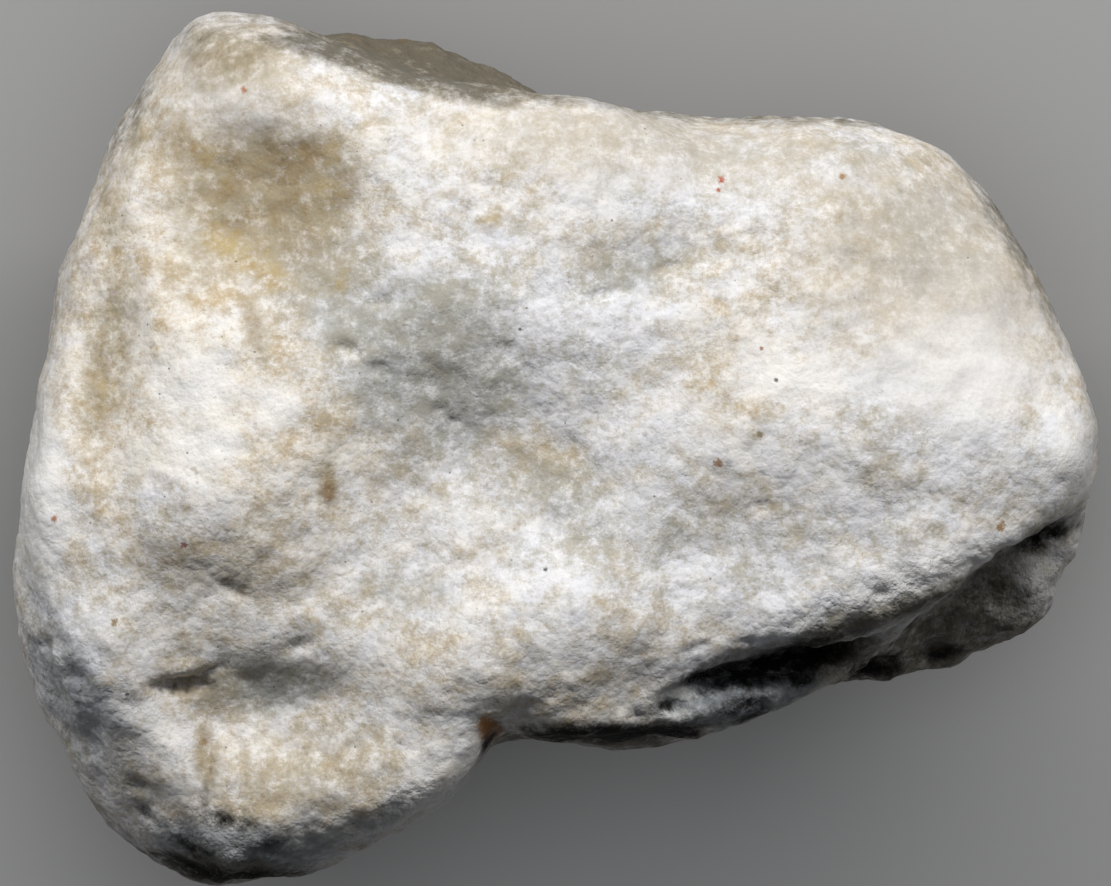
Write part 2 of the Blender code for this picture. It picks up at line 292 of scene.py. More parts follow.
# Where each tint lies
STAINS: Mapping[Tint, tuple[Stain, ...]] = {
    # silt, and painted shade on the knob, the shoulder, the long edge and the right half; one
    # patch takes tan off as painted light
    Tint.TAN: (
        # the hollow under the knob
        patch(-25.6, 22.4, 10.6, 8, 0.92),
        patch(-19.4, 21.8, 4.6, 5.6, 0.5),
        # painted light: tan taken off where the hollow's upper wall lies in shade
        patch(-25.4, 27.6, 7, 3.2, -0.8),
        patch(-33.6, 26.4, 4.6, 4, 0.6),
        patch(-28, 32.6, 7.5, 5.2, 0.42),
        patch(-36.8, 24.6, 2.6, 7, 0.6, -28),
        patch(-37.8, 19.4, 2.4, 4.4, 0.7),
        patch(-19.8, 16, 6, 5, 0.35),
        patch(-26.4, 15.6, 6, 4.4, 0.36),
        # the left half
        patch(-37.6, 9.4, 3, 9.5, 0.66, -3),
        patch(-39.5, 2.6, 2.6, 7.5, 0.5),
        patch(-32, 14, 6, 4, 0.42),
        patch(-25.3, 9.4, 1.8, 4.4, 0.6, 14),
        patch(-18.7, 1.6, 1.6, 4, 0.5),
        patch(-19.3, -3.4, 1.3, 2.6, 0.8),
        patch(-22, 0.4, 1.6, 3, 0.35),
        patch(-25, -10.4, 9.4, 5.4, 0.45),
        patch(-33.5, -9.7, 4.4, 3.6, 0.38),
        patch(-13.2, -3.8, 4, 4.4, 0.3),
        patch(-29.6, -25.4, 1.7, 4.6, 0.75, 4),
        patch(-20.6, -27.4, 12, 6.4, 0.36, 12),
        patch(-34.4, -27.6, 2.2, 2.4, 0.5),
        # the right half, and small spots
        patch(26, 18.4, 9, 5.4, 0.24),
        patch(33, 14.6, 9, 8, 0.16),
        patch(12.2, 17.4, 3.6, 2.8, 0.3),
        patch(13.9, -3.1, 1.5, 2.8, 0.4),
        patch(16.9, 0.8, 1.6, 1.2, 0.45),
        Stain((24, 27.2, 43), (20, 2.2, 9), 0.3),
        Stain((41.6, -8.9, 33), (2.6, 2.6, 8), 0.4),
        patch(8, -17.6, 2, 1.8, 0.35),
        patch(-5.2, 19, 2.8, 1.2, 0.55, 30),
        patch(-9.1, 21.1, 1.6, 0.9, 0.5),
        # the slope above the crevice
        Stain((27.4, -13.8, 43), (7, 0.9, 9), 0.6, 24),
        # the knob's crest and the hollow's rim
        patch(-28, 33.6, 8, 4.6, 0.5),
        patch(-16.6, 13.6, 6, 4, 0.15, -30),
        # the shoulder behind the long edge
        Stain((-11, 33, 24), (24, 10, 18), 0.8, -12),
    ),
    # clear gypsum, and painted shade: the hollows, the long edge, the knob's crest and the right
    # half are painted darker
    Tint.GREY: (
        # the right half, and small spots
        Stain((31, 18.6, 44), (12, 10, 16), 0.48),
        # hollows of the broad face
        patch(-10.7, 6, 11, 8.6, 0.84, -12),
        patch(-8.1, 12.3, 6.6, 4.4, 0.5),
        patch(-17.4, 9.7, 3.8, 3.4, 0.45),
        patch(6.4, 14.8, 7.6, 3.4, 0.66, 12),
        patch(15.4, -5.2, 5, 4, 0.1),
        patch(-25.6, -20.6, 8, 3.4, 0.85, 6),
        Stain((2, -22.6, 42), (8, 3, 12), 0.45),
        # the slope above the crevice
        Stain((25.8, -14.2, 44), (9, 2.6, 12), 0.6, 20),
        # the long edge
        Stain((12, 25.8, 44), (24, 3.4, 12), 0.42, -3),
        # the knob's crest and duller places of the broad face
        patch(-28, 33.6, 9, 4.6, 0.45),
        patch(-21.8, 12.6, 4.4, 5.6, 0.5, 20),
        patch(0.5, -2.6, 5, 3.6, 0.55),
        patch(-12.6, -12.4, 7.4, 3.4, 0.5, -4),
        patch(-6, -5.6, 10, 5.6, 0.36),
        patch(4.6, -8, 7, 5, 0.36),
        Stain((-22, -28.4, 44), (13, 6.4, 14), 0.52, 12),
        patch(-25.4, 17.6, 4.4, 2.6, 0.5, -20),
        patch(-19, 15.4, 7.4, 5.6, 0.62, -30),
    ),
    Tint.OCHRE: (
        patch(-28.2, 17.4, 2.8, 1.8, 0.58),
        patch(-25.8, 15.2, 4.6, 2.4, 0.52, -35),
        patch(-23.6, 14, 2.6, 1.8, 0.32, -20),
        patch(-21.4, 12, 4, 3, 0.15, -40),
        patch(-17.9, 14, 1.3, 1.8, 0.5),
        patch(-29.2, 24.4, 2.6, 1.8, 0.45, -20),
        patch(-19.2, 25, 1.6, 2.8, 0.45),
        patch(-19.4, 21.2, 2.4, 1.6, 0.45),
        patch(-33, 27.4, 2.6, 1.6, 0.4, 40),
        patch(-37.4, 22.6, 1.4, 3.4, 0.35, -20),
        patch(-37.8, 5, 1.6, 8, 0.35, -4),
        patch(-5.4, 19.4, 2.4, 1, 0.5, 28),
    ),
    Tint.RUST: (
        patch(-25.5, 14.8, 1.9, 0.9, 0.3, -30),
        patch(-23.6, 13.6, 1.8, 0.8, 0.3, -40),
        patch(-31, 25.2, 1.8, 1.3, 0.35),
        patch(-20.6, 24.4, 1.6, 2.4, 0.35),
        patch(-19.2, -3.9, 0.8, 1.6, 0.55),
        Stain((-5.4, -24.2, 42), (1.6, 2.4, 10), 1, 20),
    ),
    # broken stone, and painted shade: the tongue, the ledge and the slope under the overhang are
    # painted darker where shade falls
    Tint.SLATE_AND_SHADE: (
        # the left flank, the tongue and the ledge
        Stain((-40.3, -21.4, 38), (4.2, 11, 16), 0.62, 28),
        Stain((15.4, -21.4, 42), (10, 3.4, 12), 1, 14),
        Stain((17, -21.4, 41), (6, 2.4, 12), 0.9, 14),
        Stain((36.6, -13.4, 27), (6, 3.4, 7), 0.6, 18),
        # the slope above the crevice
        Stain((26, -14.4, 43), (12, 1.8, 9), 0.55, 20),
        # the foot, beside the slit and the lobed corner's lower rim
        Stain((-27, -34.4, 40), (10, 4.2, 14), 1, -4),
        Stain((-24.4, -20.6, 46), (6, 2.6, 14), 0.4, 6),
        Stain((-15.6, -31.4, 41), (8, 2, 10), 0.5, 28),
    ),
    # dirt and painted shade: darker low on the sides, on the rims, the shoulder and the slopes
    # under the edges, where less light falls
    Tint.GRIME_AND_SHADE: (
        # the slope above the crevice
        Stain((23.4, -15.8, 45.4), (8.5, 1.5, 5), 0.8, 18),
        Stain((31.6, -12.9, 43.6), (7.5, 1.5, 6), 0.75, 24),
        Stain((14.6, -18, 45.4), (5, 1, 4), 0.55, 14),
        # the knob's crest, the slit and below the edges
        Stain((-28, 35, 44), (10, 4.2, 14), 0.45),
        Stain((-36.4, 28.4, 40), (2.2, 10, 12), 0.6, -24),
        patch(-31.9, -20.6, 2.6, 0.7, 0.95, 4),
        patch(-29, -19, 2.8, 0.6, 0.5, 22),
        Stain((-12, 31.8, 41), (15, 2.6, 12), 1, -14),
        Stain((18, 29.4, 35), (26, 3, 17), 0.8, -1),
        Stain((40.4, 16, 36), (3, 14, 17), 0.6, 28),
        # the shoulder behind the long edge, low on the sides, and the ledge
        Stain((-11, 33, 24), (22, 9, 17), 1, -12),
        Stain((-10, 33, 25), (16, 7, 12), 0.6, -12),
        Stain((-4, 28, 14), (44, 18, 15), 0.5, -6),
        Stain((16, -20, 18), (32, 12, 18), 0.55, 14),
        Stain((-28, -32, 20), (22, 12, 18), 0.5, 6),
        Stain((41.4, -11.6, 27), (3, 3.6, 8), -0.9),
        Stain((34, -15, 28), (13, 7, 8), 0.7, 18),
        Stain((19, -18.5, 37), (12, 3, 7), 0.7, 12),
        # under the foot
        Stain((-28, -36, 36), (11, 2.2, 8), 0.85, -4),
        Stain((-27, -34.2, 40), (9, 3, 10), 0.5, -4),
        # painted light and shade: lighter and darker places of the ledge, the crevice and the
        # lobe's rim
        Stain((36.4, -14.2, 27), (4, 1.8, 9), -0.6, 18),
        Stain((24.4, -17.8, 38.5), (6, 2.2, 6), 0.5, 28),
        Stain((-16, -30.8, 40), (9, 2.8, 8), -0.6, 28),
        # between the notch and the tongue
        Stain((4.4, -25, 40.5), (11, 2.6, 8), 0.9, 0),
        Stain((6, -25, 32), (22, 5, 20), 0.6, 6),
    ),
    # painted shade: black in the crevices, the pits, under the foot and below the notch and the
    # overhang
    Tint.CREVICE_SHADE: (
        # the slope above the crevice
        Stain((21.6, -16.8, 44.6), (6.5, 0.9, 4), 0.6, 14),
        # the crevices, the tongue and the ledge
        Stain((41, -7.6, 34), (3.6, 2.2, 14), 1, 20),
        Stain((19, -18.4, 39), (8.6, 2, 8), 1, 12),
        Stain((11.4, -19.6, 42), (3, 0.9, 8), 0.8, 12),
        Stain((15.8, -21.8, 41), (3.2, 0.8, 8), 0.6, 16),
        Stain((17.6, -22.8, 40), (3.4, 0.9, 8), 0.6, 14),
        Stain((12.4, -20.8, 41), (2.6, 0.8, 8), 0.55, 14),
        Stain((9.2, -22, 42), (2.2, 0.9, 8), 0.8, 12),
        Stain((20.8, -20, 40), (1.6, 0.7, 8), 0.8, 20),
        Stain((26.2, -19.3, 31), (6, 1.9, 12), 1, 13),
        Stain((33, -17.6, 28), (3.4, 0.9, 8), 0.75, 12),
        Stain((38, -15.6, 26), (2.2, 0.8, 6), 0.5, 24),
        Stain((34.6, -13.6, 30), (2.6, 0.8, 6), 0.5, 30),
        # under the foot
        Stain((-31, -35.8, 35), (5, 1.6, 4), 0.9, -14),
        Stain((-26.4, -36.4, 38), (5.6, 1.5, 4), 0.9, 4),
        # the tongue
        Stain((15.4, -21.6, 42), (7, 2.6, 7), 0.52, 14),
        # between the notch and the tongue
        Stain((2.4, -24.3, 43), (7.6, 1.8, 7), 1, -3),
        Stain((8.6, -24.3, 41.6), (5, 1.6, 5), 0.9, 3),
        Stain((3.8, -25, 40.5), (5, 2, 6), 1, -2),
        Stain((8.4, -24.9, 39.5), (5, 2, 5), 1, 4),
        # pits of the foot, and the notch
        Stain((-27.6, -31.8, 42), (2.6, 1.1, 10), 0.9, -10),
        Stain((-30.6, -34, 40), (3, 0.9, 10), 0.7, -30),
        Stain((-24, -33.4, 40), (3.4, 0.7, 10), 0.6, 14),
        Stain((-29.6, -29.8, 43), (0.7, 2.6, 10), 0.45, 4),
        Stain((-34.6, -31, 40), (1.8, 0.8, 10), 0.7, -40),
        Stain((-5.4, -25.4, 41), (1.6, 1.8, 8), 0.9, 20),
    ),
    Tint.WARM: (
        Stain((-32, 14, FACE), (13, 24, 20), 0.6, -14),
        Stain((-22, 2, FACE), (9, 10, 20), 0.4),
        Stain((29, 17, FACE), (12, 9, 20), 0.35),
        Stain((14, 6, FACE), (6, 8, 20), 0.35, 20),
        Stain((-22, -27, FACE), (10, 5, 20), 0.4, 10),
        Stain((-36.5, 0, FACE), (4.6, 10, 20), 0.6),
        Stain((22, 7, FACE), (7, 5, 20), 0.4),
    ),
    Tint.COOL: (
        Stain((18, -8, FACE), (27, 11, 20), 0.55, 12),
        Stain((-4, -8, FACE), (18, 10, 20), 0.4),
        Stain((0, 12, FACE), (15, 11, 20), 0.5),
        Stain((-9.6, 6.4, FACE), (13, 10, 16), 0.75, -12),
        Stain((-34, -6, FACE), (8, 6, 20), 0.3),
        patch(11.4, 22.4, 10, 4.4, 0.6),
        patch(2.9, 9.7, 8, 5.6, 0.5),
        patch(23.2, 9.7, 5.6, 3.6, 0.5),
        patch(27.4, 6, 4.6, 3.6, 0.6),
        patch(-29.3, 6.4, 2.8, 2.4, 0.3),
        patch(-33.1, -6.4, 3, 2.8, 0.7),
        patch(-24.6, -18.2, 3, 1.6, 0.8),
        Stain((-40.7, -19.6, 40), (4.6, 9, 14), 1, 24),
        Stain((-30.2, -34.6, 40), (9, 3.4, 14), 0.9, -10),
        Stain((14, -19.8, 43), (9, 4, 14), 1, 14),
        Stain((26, -13.4, 44), (9, 3.4, 14), 0.8, 20),
        patch(16, -11, 9, 5, 0.5, 8),
        patch(8, 2, 9, 5, 0.5),
        patch(-12.4, 29, 5, 2.4, 0.7, -10),
        patch(25, 24.6, 5, 3, 0.6),
    ),
    # bruised white, and painted highlight: the highest spots of the broad face, the rims, a shaded
    # dip and the lobe's rim are painted lighter
    Tint.CHALK_AND_HIGHLIGHT: (
        patch(-30.5, 4.6, 5.6, 3.8, 0.85),
        patch(-29.7, 0, 5, 3, 0.85),
        patch(-24, 3.4, 3.6, 3, 0.7),
        patch(17.3, 5.4, 4.4, 2.4, 0.85),
        patch(22, 5.2, 4.6, 2.6, 0.85),
        patch(-14, 27, 3.6, 3, 0.3),
        patch(-10.6, 24.6, 4.6, 3.4, 0.3),
        patch(4, 22.6, 9, 3, 0.3),
        patch(34, 5.6, 8, 7, 0.85),
        patch(11.4, 1.3, 4.8, 3.6, 0.55),
        patch(-8.6, -6.4, 4, 3, 0.5),
        patch(-0.5, -12.2, 5, 3.6, 0.2),
        patch(16.6, -1.6, 5, 3.6, 0.45),
        patch(-33, -23.6, 2.6, 3.6, 0.6, 20),
        Stain((-43.4, -3.6, 40), (3.4, 11, 14), 0.8),
        patch(-39, -15.6, 3, 3.6, 0.5),
        Stain((43.6, -1, 40), (3.4, 6, 14), 0.8),
        Stain((41.4, -11.6, 27), (2.4, 3, 7), 0.6),
        patch(31, -10.6, 10, 2.6, 0.7, 18),
        patch(0.6, -17.4, 5, 2.4, 0.5),
        # the lobed corner's rim
        Stain((-9.6, -28.4, 41), (7, 3.4, 14), 0.7, 32),
    ),
    Tint.BROKEN: (
        Stain((-28, -34.6, 40), (11, 5, 14), 0.95, -4),
        Stain((-41, -21, 38), (4.6, 12, 14), 0.5, 26),
        Stain((-14, -31, 41), (10, 3.2, 10), 0.65, 28),
        Stain((34, -14, 30), (14, 7, 13), 1, 18),
        Stain((27, -14.2, 44), (10, 2.8, 12), 0.6, 20),
        Stain((14, -22, 41), (11, 4.4, 12), 0.65, 14),
        Stain((25, -17.4, 38.5), (8, 3, 9), 0.8, 26),
        Stain((28, -12, 44), (16, 3, 8), 0.42, 20),
        Stain((-11, 33, 22), (17, 6, 14), 0.2, -12),
    ),
    # wear, and painted shade: the darker rubbed colour also darkens the long edge's bevel and the
    # knob
    Tint.WORN_AND_SHADE: (
        Stain((33, 14, 44), (15, 14, 20), 1),
        Stain((8, 25.4, 46), (24, 5, 20), 0.85, -6),
        Stain((-28, 32, 46), (10, 7, 20), 0.8),
        Stain((-25, 22, 46), (11, 9, 20), 0.4),
    ),
}

# The tints that are colours of their own, in the order in which they are laid on
COATS: tuple[Coat, ...] = (
    Coat(Tint.GREY, rag=0.8, most=0.62),
    Coat(Tint.CHALK_AND_HIGHLIGHT, rag=1.0, most=0.70),
    Coat(Tint.SLATE_AND_SHADE, rag=0.9, most=0.92),
    Coat(Tint.TAN, rag=0.9, most=0.88),
    Coat(Tint.OCHRE, rag=2.0, most=0.75),
    Coat(Tint.GRIME_AND_SHADE, rag=1.1, most=0.94),
    Coat(Tint.RUST, rag=1.0, most=0.95),
    Coat(Tint.CREVICE_SHADE, rag=1.2, most=1.0),
)

SPECKS: tuple[Speck, ...] = (
    Speck((13.9, 22.3, 47.5), 0.26, (0.42, 0.07, 0.02)),
    Speck((24.1, 22.6, 47), 0.24, (0.36, 0.2, 0.08)),
    Speck((37.4, -6.8, 45), 0.36, (0.34, 0.19, 0.05)),
    Speck((-42.2, -6.2, 41), 0.24, (0.45, 0.16, 0.06)),
    Speck((-31.3, -8.4, 47), 0.22, (0.22, 0.03, 0.03)),
    Speck((-26.3, 29.9, 47), 0.24, (0.4, 0.16, 0.07)),
    Speck((-3, 9.7, 47.5), 0.15, (0.02, 0.02, 0.02)),
    Speck((18.5, 5.4, 47.5), 0.15, (0.03, 0.02, 0.02)),
    Speck((-36.1, -21, 42), 0.17, (0.03, 0.03, 0.02)),
    Speck((-0.9, -10.5, 47), 0.14, (0.03, 0.03, 0.02)),
    Speck((13.7, 21.5, 47), 0.17, (0.4, 0.09, 0.03)),
    Speck((13.6, -1.5, 47), 0.36, (0.3, 0.16, 0.07)),
    Speck((17.1, 0.9, 47), 0.28, (0.22, 0.17, 0.08)),
    Speck((17.3, 8.1, 47), 0.16, (0.34, 0.15, 0.09)),
    Speck((-37.1, -14.9, 44), 0.28, (0.28, 0.19, 0.09)),
    Speck((-29.7, -25, 46), 0.3, (0.3, 0.2, 0.1)),
    Speck((-6, -23.4, 44), 0.55, (0.5, 0.22, 0.04)),
)


class Shade:
    """A shader value: wraps a socket, so that shader maths is written as plain expressions."""

    def __init__(self, graph: Graph, socket: bpy.types.NodeSocket) -> None:
        """Wraps a socket of this graph."""
        self.graph = graph
        self.socket = socket

    def _math(self, operation: str, first: Any, second: Any, clamp: bool = False) -> Shade:
        """Adds one Math node on two values."""
        settings = {"operation": operation, "use_clamp": clamp}
        return self.graph.node("ShaderNodeMath", settings, {0: first, 1: second})

    def __add__(self, other: Any) -> Shade:
        """self + other."""
        return self._math("ADD", self, other)

    def __radd__(self, other: Any) -> Shade:
        """other + self."""
        return self._math("ADD", other, self)

    def __sub__(self, other: Any) -> Shade:
        """self - other."""
        return self._math("SUBTRACT", self, other)

    def __rsub__(self, other: Any) -> Shade:
        """other - self."""
        return self._math("SUBTRACT", other, self)

    def __mul__(self, other: Any) -> Shade:
        """self * other."""
        return self._math("MULTIPLY", self, other)

    def __rmul__(self, other: Any) -> Shade:
        """other * self."""
        return self._math("MULTIPLY", other, self)

    def __truediv__(self, other: Any) -> Shade:
        """self / other."""
        return self._math("DIVIDE", self, other)

    def clamped(self) -> Shade:
        """This value held between 0 and 1."""
        return self._math("ADD", self, 0.0, clamp=True)

    def step(self, low: float, high: float) -> Shade:
        """0 below low, 1 above high, smooth between."""
        settings = {"interpolation_type": "SMOOTHSTEP"}
        return self.graph.node("ShaderNodeMapRange", settings, {0: self, 1: low, 2: high})


class Graph:
    """A material's nodes, added in code."""

    def __init__(self, name: str) -> None:
        """Starts a material that holds only a Principled BSDF and its output.

        Args:
            name: the material's name.
        """
        self.material = bpy.data.materials.new(name)
        self.material.use_nodes = True
        self.tree = self.material.node_tree
        self.shader = self.tree.nodes["Principled BSDF"]

    def node(
        self,
        kind: str,
        settings: Mapping[str, Any] | None = None,
        inputs: Mapping[str | int, Any] | None = None,
        out: str | int = 0,
    ) -> Shade:
        """Adds one node.

        Args:
            kind: the node's type.
            settings: its own properties, set before its sockets.
            inputs: values or links for its sockets, by name or place.
            out: the output socket to wrap.

        Returns:
            That output, ready for more shader maths.
        """
        made = self.tree.nodes.new(kind)
        for name, value in (settings or {}).items():
            setattr(made, name, value)
        for key, value in (inputs or {}).items():
            self.feed(made.inputs[key], value)
        return Shade(self, made.outputs[out])

    def feed(self, socket: bpy.types.NodeSocket, value: Any) -> None:
        """Links a shade to a socket, or sets the socket's own value.

        Args:
            socket: the socket.
            value: a shade, a number or a colour of three numbers.
        """
        if isinstance(value, Shade):
            self.tree.links.new(value.socket, socket)
        elif isinstance(value, tuple) and len(value) == 3 and socket.type == "RGBA":
            socket.default_value = (*value, 1.0)
        else:
            socket.default_value = value

    def noise(self, grain: Grain) -> Shade:
        """Adds a layer of soft noise.

        Args:
            grain: the layer.

        Returns:
            The noise, 0.5 on average.
        """
        place = self.node("ShaderNodeTexCoord", out="Object")
        shift = tuple(grain.seed * part for part in SEED_DRIFT)
        moved = self.node("ShaderNodeVectorMath", {"operation": "ADD"}, {0: place, 1: shift})
        inputs = {
            "Vector": moved,
            "Scale": 1 / (grain.size * MM),
            "Detail": grain.detail,
            "Roughness": grain.roughness,
        }
        return self.node("ShaderNodeTexNoise", None, inputs)

    def cells(self, size: float) -> Shade:
        """Adds crystals, each a cell of its own.

        Args:
            size: the size of a crystal.

        Returns:
            The distance from the middle of the nearest crystal, as a share of that size.
        """
        place = self.node("ShaderNodeTexCoord", out="Object")
        inputs = {"Vector": place, "Scale": 1 / (size * MM)}
        return self.node("ShaderNodeTexVoronoi", None, inputs, "Distance")

    def blend(self, share: Any, first: Any, second: Any, mode: str = "MIX") -> Shade:
        """Mixes two colours by a share."""
        settings = {"data_type": "RGBA", "blend_type": mode, "clamp_factor": True}
        return self.node("ShaderNodeMix", settings, {0: share, 6: first, 7: second}, out=2)

    def grey(self, value: Shade) -> Shade:
        """A grey of this lightness."""
        return self.node("ShaderNodeCombineColor", None, {0: value, 1: value, 2: value})

    def painted(self, tint: Tint) -> Shade:
        """The painted attribute of a tint."""
        return self.node("ShaderNodeAttribute", {"attribute_name": tint.value}, out="Fac")


@dataclass(frozen=True)
class Layers:
    """The noise layers that the colour is mixed from, as values of one material."""

    broad: Shade
    patch: Shade
    hue: Shade
    clump: Shade
    sugar: Shade


@dataclass(frozen=True)
class GypsumFinish:
    """Worn, sugary rock gypsum: the colours of its stone, stains, painted shade and highlights,
    its grain and dullness.
    """

    name: str = "rock_gypsum"

    # linear colours
    clear_warm: Triple = (0.56, 0.44, 0.28)
    clear_cool: Triple = (0.49, 0.46, 0.385)
    cream: Triple = (0.85, 0.81, 0.745)
    bluish: Triple = (0.80, 0.81, 0.86)
    # rubbed stone's colour, also painted shade on the bevel and the knob
    worn_and_shade: Triple = (0.60, 0.55, 0.48)
    # bruised white, also used for painted highlights and glints
    chalk_and_highlight: Triple = (0.90, 0.89, 0.885)
    grey: Triple = (0.31, 0.32, 0.305)
    # broken stone's colour, also painted shade
    slate_and_shade: Triple = (0.30, 0.33, 0.36)
    silt: Triple = (0.36, 0.305, 0.20)
    tan: Triple = (0.305, 0.215, 0.085)
    brown: Triple = (0.19, 0.115, 0.04)
    ochre: Triple = (0.50, 0.38, 0.17)
    rust: Triple = (0.27, 0.12, 0.03)
    # dirt and painted shade, darker where less light falls
    grime_and_shade: Triple = (0.13, 0.115, 0.085)
    # painted shade: the near-black of the crevices and the shaded undersides
    crevice_shade: Triple = (0.012, 0.010, 0.009)
    pit: Triple = (0.26, 0.20, 0.13)
    pin: Triple = (0.10, 0.06, 0.03)

    # noise layers, from broad to fine, and the sizes of two kinds of cells
    broad_noise: Grain = Grain(13.0, 3.0, 0.6, seed=0.11)
    patch_noise: Grain = Grain(4.4, 5.0, 0.68, seed=0.23)
    hue_noise: Grain = Grain(2.4, 3.0, 0.6, seed=0.61)
    lump_noise: Grain = Grain(1.9, 3.0, 0.62, seed=0.37)
    clump_noise: Grain = Grain(1.5, 5.0, 0.76, seed=0.37)
    dull_noise: Grain = Grain(1.1, seed=0.31)
    pit_noise: Grain = Grain(0.75, 2.0, 0.6, seed=0.71)
    sugar_noise: Grain = Grain(0.34, 3.0, 0.8, seed=0.53)
    pin_cell: float = 1.7
    crystal_cell: float = 0.85

    # where a thing begins and where it is whole, on its own noise
    crust_rim: Pair = (0.21, 0.65)
    tan_rim: Pair = (0.36, 0.64)
    stain_rim: Pair = (0.10, 0.92)
    white_rim: Pair = (0.50, 0.70)
    fleck_hue_rim: Pair = (0.54, 0.66)
    fleck_clump_rim: Pair = (0.46, 0.60)
    pit_rim: Pair = (0.68, 0.78)
    dark_grain_rim: Pair = (0.67, 0.74)
    # painted highlight: where the glints begin and are whole
    glint_rim: Pair = (0.67, 0.73)
    pin_rim: Pair = (0.035, 0.075)
    pin_patch_rim: Pair = (0.44, 0.56)
    speck_rim: Pair = (0.5, 1.6)
    speck_squeeze: Triple = (1.0, 1.0, 0.02)
    crystal_rim: Pair = (0.35, 0.6)

    # how far each noise, or paint, shifts which stone or stain shows
    cool_by_broad: float = 1.2
    cool_by_hue: float = 2.0
    cool_by_paint: float = 0.8
    crust_by_patch: float = 0.9
    crust_by_sugar: float = 0.4
    crust_by_paint: float = 0.16
    tan_by_clump: float = 0.6
    white_by_sugar: float = 0.3
    rag_by_patch: float = 1.1
    rag_by_sugar: float = 0.5
    rag_of_bare: float = 0.3
    pit_by_patch: float = 0.5
    speck_by_sugar: float = 3.6

    # how much a thing hides at most
    worn_and_shade_share: float = 0.7
    white_share: float = 0.32
    fleck_share: float = 0.55
    pit_share: float = 0.35
    grain_and_glint_share: float = 0.4
    pin_share: float = 0.75
    speck_share: float = 0.85
    worn_cover: float = 0.85

    # how far the lightness swings with the clumps and with the sugary grain
    mottle: float = 0.16
    grain: float = 0.22

    # relief in the material, in millimetres, and how much stronger or weaker it is on some stone
    lump_height: float = 0.20
    crystal_depth: float = 0.09
    sugar_height: float = 0.04
    broken_gain: float = 2.0
    worn_loss: float = 0.75

    # dullness and gloss
    roughness: float = 0.62
    roughness_swing: float = 0.2
    crevice_shade_roughness: float = 0.35
    ior: float = 1.52
    specular: float = 0.22

    def make(self) -> bpy.types.Material:
        """Builds the material.

        Returns:
            The finished material.
        """
        graph = Graph(self.name)
        graph.feed(graph.shader.inputs["Base Color"], self._colour(graph))
        swing = self.roughness_swing * (graph.noise(self.dull_noise) - 0.5)
        rough = self.roughness + swing + self.crevice_shade_roughness * graph.painted(Tint.CREVICE_SHADE)
        graph.feed(graph.shader.inputs["Roughness"], rough.clamped())
        relief = {"Strength": 1.0, "Distance": MM, "Height": self._relief(graph)}
        graph.feed(graph.shader.inputs["Normal"], graph.node("ShaderNodeBump", None, relief))
        graph.feed(graph.shader.inputs["Metallic"], 0.0)
        graph.feed(graph.shader.inputs["IOR"], self.ior)
        graph.feed(graph.shader.inputs["Specular IOR Level"], self.specular)
        return graph.material

    def _colour(self, graph: Graph) -> Shade:
        """Mixes the stone's colour: its kinds of gypsum, then its stains, marks and specks.

        Args:
            graph: the material's nodes.

        Returns:
            The finished colour.
        """
        layers = Layers(
            broad=graph.noise(self.broad_noise),
            patch=graph.noise(self.patch_noise),
            hue=graph.noise(self.hue_noise),
            clump=graph.noise(self.clump_noise),
            sugar=graph.noise(self.sugar_noise),
        )
        colour = self._stone(graph, layers)
        colour = self._stained(graph, layers, colour)
        colour = self._marked(graph, layers, colour)
        for speck in SPECKS:
            spot = self._spot(graph, speck, layers.sugar)
            colour = graph.blend(self.speck_share * spot, colour, speck.colour)
        return colour

    def _stone(self, graph: Graph, layers: Layers) -> Shade:
        """Clear gypsum with a paler crust over most of it, duller and darker where rubbed.

        Args:
            graph: the material's nodes.
            layers: the noise layers.

        Returns:
            The bare stone's colour.
        """
        cool = 0.5 + self.cool_by_broad * (layers.broad - 0.5)
        cool = cool + self.cool_by_hue * (layers.hue - 0.5)
        cool = cool + self.cool_by_paint * graph.painted(Tint.COOL)
        cool = cool - self.cool_by_paint * graph.painted(Tint.WARM)
        clear = graph.blend(cool.clamped(), self.clear_warm, self.clear_cool)
        crust = graph.blend(cool.clamped(), self.cream, self.bluish)
        crusted = layers.clump + self.crust_by_patch * (layers.patch - 0.5)
        crusted = crusted + self.crust_by_sugar * (layers.sugar - 0.5)
        crusted = crusted + self.crust_by_paint * graph.painted(Tint.CHALK_AND_HIGHLIGHT)
        crusted = crusted - self.crust_by_paint * graph.painted(Tint.GREY)
        colour = graph.blend(crusted.step(*self.crust_rim), clear, crust)
        # painted shade in part: the darker rubbed colour on the bevel and the knob
        return graph.blend(self.worn_and_shade_share * graph.painted(Tint.WORN_AND_SHADE), colour, self.worn_and_shade)

    def _stained(self, graph: Graph, layers: Layers, colour: Shade) -> Shade:
        """Lays on the coats, and white lumps that show through all but the painted crevice shade.

        Args:
            graph: the material's nodes.
            layers: the noise layers.
            colour: the bare stone's colour.

        Returns:
            The stained stone's colour.
        """
        tan = (layers.hue + self.tan_by_clump * (layers.clump - 0.5)).step(*self.tan_rim)
        bodies = {
            Tint.GREY: self.grey,
            Tint.CHALK_AND_HIGHLIGHT: self.chalk_and_highlight,
            Tint.SLATE_AND_SHADE: self.slate_and_shade,
            Tint.TAN: graph.blend(tan, self.silt, self.tan),
            Tint.OCHRE: self.ochre,
            Tint.GRIME_AND_SHADE: self.grime_and_shade,
            Tint.RUST: self.rust,
            Tint.CREVICE_SHADE: self.crevice_shade,
        }
        for coat in COATS:
